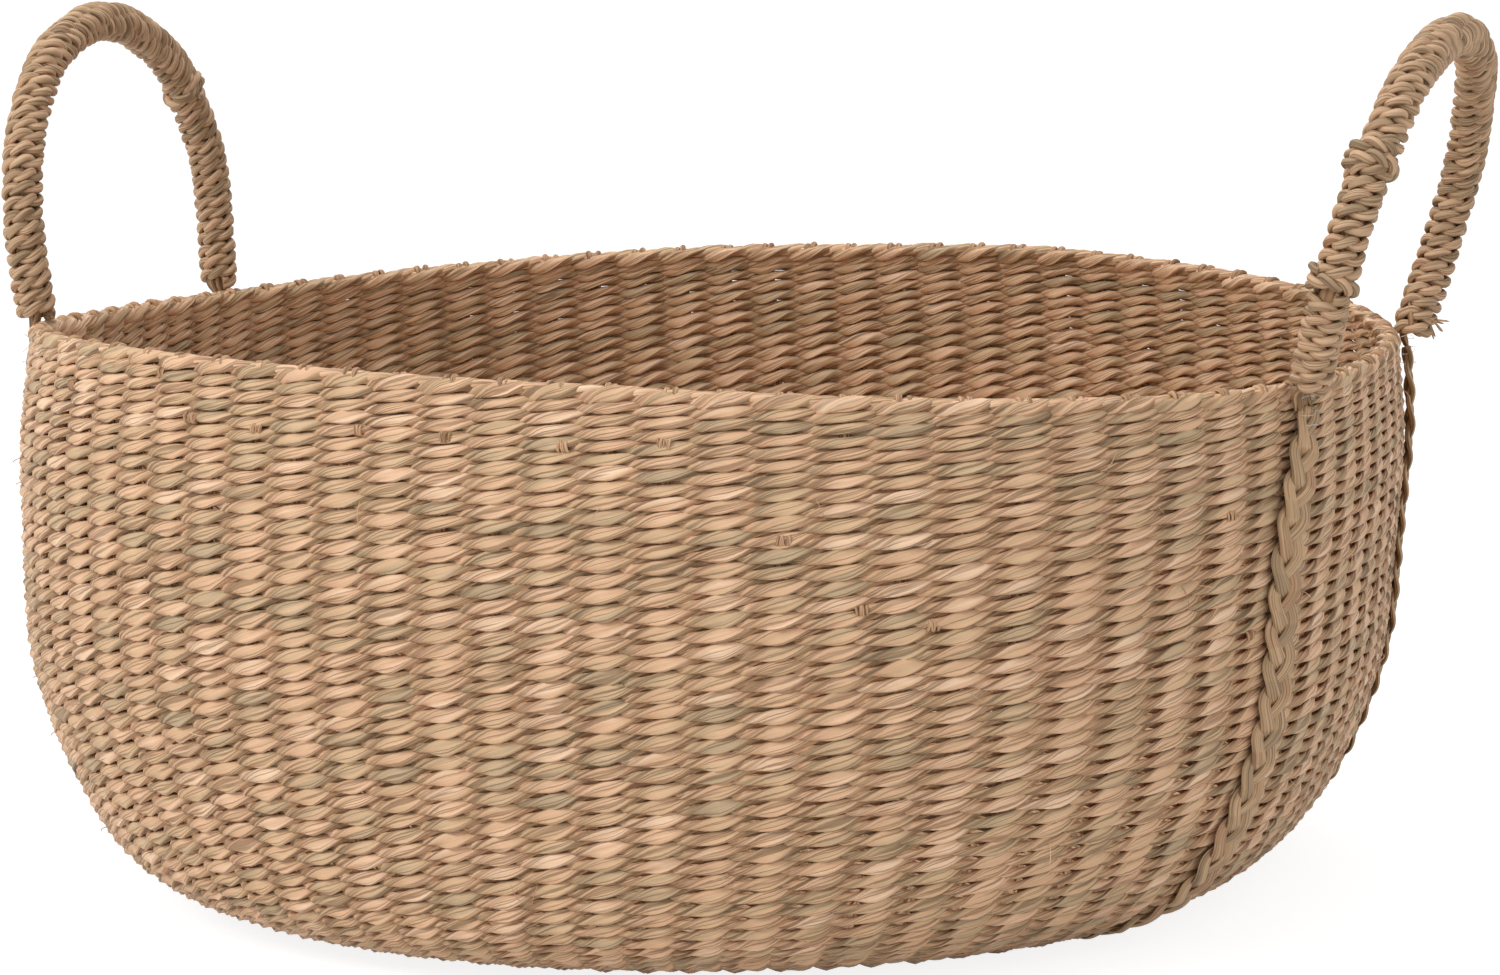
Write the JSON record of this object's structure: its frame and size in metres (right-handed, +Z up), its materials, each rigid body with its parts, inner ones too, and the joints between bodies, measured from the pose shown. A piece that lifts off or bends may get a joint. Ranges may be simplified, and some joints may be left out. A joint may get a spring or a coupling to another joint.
{
  "type": "magazine basket",
  "caption": "Deep oval basket twined from dried seagrass, with plaited straps round the base and loop handles wound with cord.",
  "frame": {"origin": "centre of the underside, on the plane that the basket stands on", "axes": "+Z up, +X along the basket's long axis from the left handle to the right one, +Y towards the back"},
  "size_m": [0.5308, 0.4378, 0.3129],
  "materials": {
    "woven_grass": "dry twined seagrass, matt",
    "border_grass": "dry twined seagrass, matt",
    "plaited_grass": "plaited seagrass, matt",
    "core_fibre": "bundled grass fibre, matt",
    "wound_cord": "twisted seagrass cord, slight sheen"
  },
  "bodies": {
    "basket": {"woven_body": "woven_grass", "rim_border": "border_grass", "near_strap": "plaited_grass", "far_strap": "plaited_grass"},
    "left_handle": {"left_handle_core": "core_fibre", "left_winding_near": "wound_cord", "left_winding_far": "wound_cord"},
    "right_handle": {"right_handle_core": "core_fibre", "right_winding_foot": "wound_cord", "right_winding_near": "wound_cord", "right_winding_far": "wound_cord"}
  },
  "joints": [
    {"name": "left_handle_tilt", "type": "hinge", "parent": "basket", "child": "left_handle", "pos_m": [-0.2347, 0.00578, 0.20137], "axis": [0.0145, 0.999, -0.0421], "range_deg": [-25, 25]},
    {"name": "right_handle_tilt", "type": "hinge", "parent": "basket", "child": "right_handle", "pos_m": [0.23849, -0.00021, 0.19372], "axis": [0.0137, 0.9999, 0.0065], "range_deg": [-35, 15]}
  ]
}
